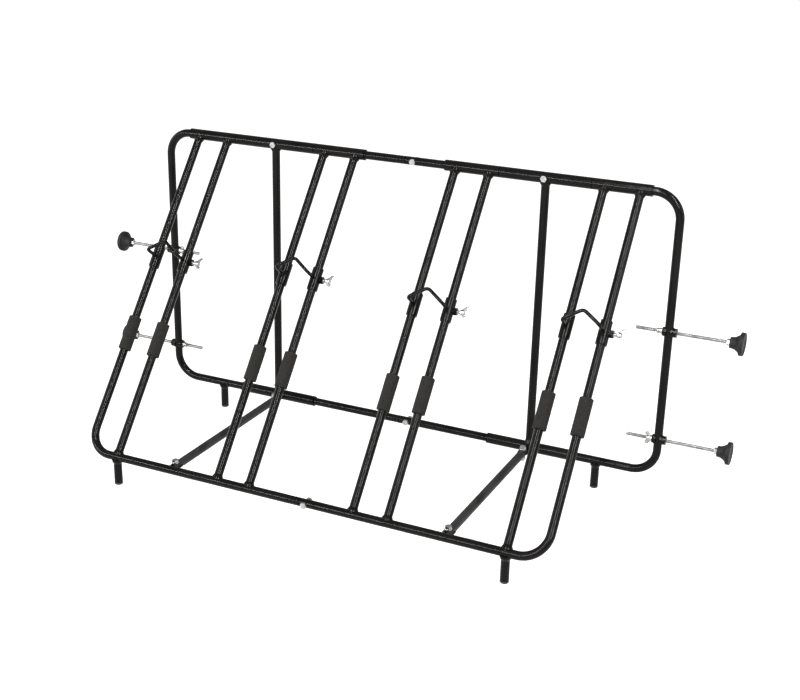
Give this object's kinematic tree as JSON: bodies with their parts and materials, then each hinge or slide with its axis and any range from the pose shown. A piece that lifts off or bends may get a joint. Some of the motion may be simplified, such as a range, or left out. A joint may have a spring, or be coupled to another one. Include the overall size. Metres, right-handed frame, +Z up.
{
  "type": "folding bicycle rack",
  "caption": "Folding A-frame bicycle rack of bent round tube: paired bars hold front wheels, hoop clamps slide on them, screw-out rubber feet brace its sides.",
  "frame": {"origin": "on the floor under the middle of the rack: the centre of its outer box in X and Y, at the level the four feet stand on", "axes": "+X to the right seen from the front, along the rails and the hinge; +Y to the rear, towards the upright frame; +Z up"},
  "size_m": [1.6, 0.5354, 0.7206],
  "materials": {
    "powder_coat": "satin black powder coat",
    "zinc": "bright zinc plate",
    "rubber": "moulded",
    "plastic": "moulded",
    "foam": "closed-cell foam"
  },
  "bodies": {
    "rear_frame": {"rear_frame_left": "powder_coat", "rear_frame_right": "powder_coat", "rear_feet": "powder_coat", "rear_foot_glides": "plastic", "rear_frame_bolts": "zinc", "rear_frame_nuts": "zinc", "brace_leg_left": "powder_coat", "brace_leg_right": "powder_coat", "post_bushes": "powder_coat"},
    "front_frame": {"front_rail_left": "powder_coat", "front_rail_right": "powder_coat", "rack_bar_2": "powder_coat", "rack_bar_3": "powder_coat", "rack_bar_4": "powder_coat", "rack_bar_5": "powder_coat", "rack_bar_6": "powder_coat", "rack_bar_7": "powder_coat", "hinge_sleeve_1": "powder_coat", "hinge_sleeve_2": "powder_coat", "hinge_sleeve_3": "powder_coat", "hinge_sleeve_4": "powder_coat", "front_feet": "powder_coat", "front_foot_glides": "plastic", "front_frame_bolt": "zinc", "front_frame_nut": "zinc", "spreader_brackets": "powder_coat", "spreader_bracket_nuts": "zinc", "foam_grip_1": "foam", "foam_grip_2": "foam", "foam_grip_3": "foam", "foam_grip_4": "foam", "foam_grip_5": "foam", "foam_grip_6": "foam", "foam_grip_7": "foam", "foam_grip_8": "foam"},
    "spreader_left": {"spreader_left": "powder_coat", "spreader_left_fasteners": "zinc"},
    "spreader_right": {"spreader_right": "powder_coat", "spreader_right_fasteners": "zinc"},
    "wheel_clamp_1": {"wheel_clamp_1": "powder_coat"},
    "wing_bolt_1": {"wing_bolt_1": "zinc"},
    "wheel_clamp_2": {"wheel_clamp_2": "powder_coat"},
    "wing_bolt_2": {"wing_bolt_2": "zinc"},
    "wheel_clamp_3": {"wheel_clamp_3": "powder_coat"},
    "wing_bolt_3": {"wing_bolt_3": "zinc"},
    "wheel_clamp_4": {"wheel_clamp_4": "powder_coat"},
    "wing_bolt_4": {"wing_bolt_4": "zinc"},
    "stabiliser_upper_left": {"stabiliser_rod_upper_left": "zinc", "rubber_foot_upper_left": "rubber"},
    "wing_nut_upper_left": {"wing_nut_upper_left": "zinc"},
    "stabiliser_lower_left": {"stabiliser_rod_lower_left": "zinc", "rubber_foot_lower_left": "rubber"},
    "wing_nut_lower_left": {"wing_nut_lower_left": "zinc"},
    "stabiliser_upper_right": {"stabiliser_rod_upper_right": "zinc", "rubber_foot_upper_right": "rubber"},
    "wing_nut_upper_right": {"wing_nut_upper_right": "zinc"},
    "stabiliser_lower_right": {"stabiliser_rod_lower_right": "zinc", "rubber_foot_lower_right": "rubber"},
    "wing_nut_lower_right": {"wing_nut_lower_right": "zinc"}
  },
  "joints": [
    {"name": "front_fold", "type": "hinge", "parent": "rear_frame", "child": "front_frame", "pos_m": [0, 0.24218, 0.708], "axis": [1, 0, 0], "range_deg": [0, 32]},
    {"name": "spreader_swing_left", "type": "hinge", "parent": "rear_frame", "child": "spreader_left", "pos_m": [-0.333, 0.21218, 0.062], "axis": [0, 0, -1], "range_deg": [0, 88]},
    {"name": "spreader_swing_right", "type": "hinge", "parent": "rear_frame", "child": "spreader_right", "pos_m": [0.333, 0.21218, 0.062], "axis": [0, 0, 1], "range_deg": [0, 88]},
    {"name": "clamp_slide_1", "type": "slide", "parent": "front_frame", "child": "wheel_clamp_1", "axis": [0, 0.6112, 0.7915], "range_m": [-0.115, 0.23]},
    {"name": "clamp_slide_2", "type": "slide", "parent": "front_frame", "child": "wheel_clamp_2", "axis": [0, 0.6112, 0.7915], "range_m": [-0.115, 0.23]},
    {"name": "clamp_slide_3", "type": "slide", "parent": "front_frame", "child": "wheel_clamp_3", "axis": [0, 0.6112, 0.7915], "range_m": [-0.115, 0.23]},
    {"name": "clamp_slide_4", "type": "slide", "parent": "front_frame", "child": "wheel_clamp_4", "axis": [0, 0.6112, 0.7915], "range_m": [-0.115, 0.23]},
    {"name": "wing_bolt_turn_1", "type": "hinge", "parent": "wheel_clamp_1", "child": "wing_bolt_1", "pos_m": [-0.47, 0.04231, 0.44919], "axis": [1, 0, 0], "continuous": true},
    {"name": "wing_bolt_turn_2", "type": "hinge", "parent": "wheel_clamp_2", "child": "wing_bolt_2", "pos_m": [-0.126, 0.04904, 0.45789], "axis": [1, 0, 0], "continuous": true},
    {"name": "wing_bolt_turn_3", "type": "hinge", "parent": "wheel_clamp_3", "child": "wing_bolt_3", "pos_m": [0.206, 0.03742, 0.44286], "axis": [1, 0, 0], "continuous": true},
    {"name": "wing_bolt_turn_4", "type": "hinge", "parent": "wheel_clamp_4", "child": "wing_bolt_4", "pos_m": [0.55, 0.04292, 0.44998], "axis": [1, 0, 0], "continuous": true},
    {"name": "stabiliser_slide_upper_left", "type": "slide", "parent": "rear_frame", "child": "stabiliser_upper_left", "axis": [-1, 0, 0], "range_m": [-0.1, 0.035]},
    {"name": "stabiliser_slide_lower_left", "type": "slide", "parent": "rear_frame", "child": "stabiliser_lower_left", "axis": [-1, 0, 0], "range_m": [-0.1, 0.035]},
    {"name": "stabiliser_slide_upper_right", "type": "slide", "parent": "rear_frame", "child": "stabiliser_upper_right", "axis": [1, 0, 0], "range_m": [-0.1, 0.035]},
    {"name": "stabiliser_slide_lower_right", "type": "slide", "parent": "rear_frame", "child": "stabiliser_lower_right", "axis": [1, 0, 0], "range_m": [-0.1, 0.035]},
    {"name": "wing_nut_turn_upper_left", "type": "hinge", "parent": "rear_frame", "child": "wing_nut_upper_left", "pos_m": [-0.608, 0.24218, 0.404], "axis": [1, 0, 0], "continuous": true},
    {"name": "wing_nut_turn_lower_left", "type": "hinge", "parent": "rear_frame", "child": "wing_nut_lower_left", "pos_m": [-0.608, 0.24218, 0.15], "axis": [1, 0, 0], "continuous": true},
    {"name": "wing_nut_turn_upper_right", "type": "hinge", "parent": "rear_frame", "child": "wing_nut_upper_right", "pos_m": [0.608, 0.24218, 0.404], "axis": [1, 0, 0], "continuous": true},
    {"name": "wing_nut_turn_lower_right", "type": "hinge", "parent": "rear_frame", "child": "wing_nut_lower_right", "pos_m": [0.608, 0.24218, 0.15], "axis": [1, 0, 0], "continuous": true}
  ]
}
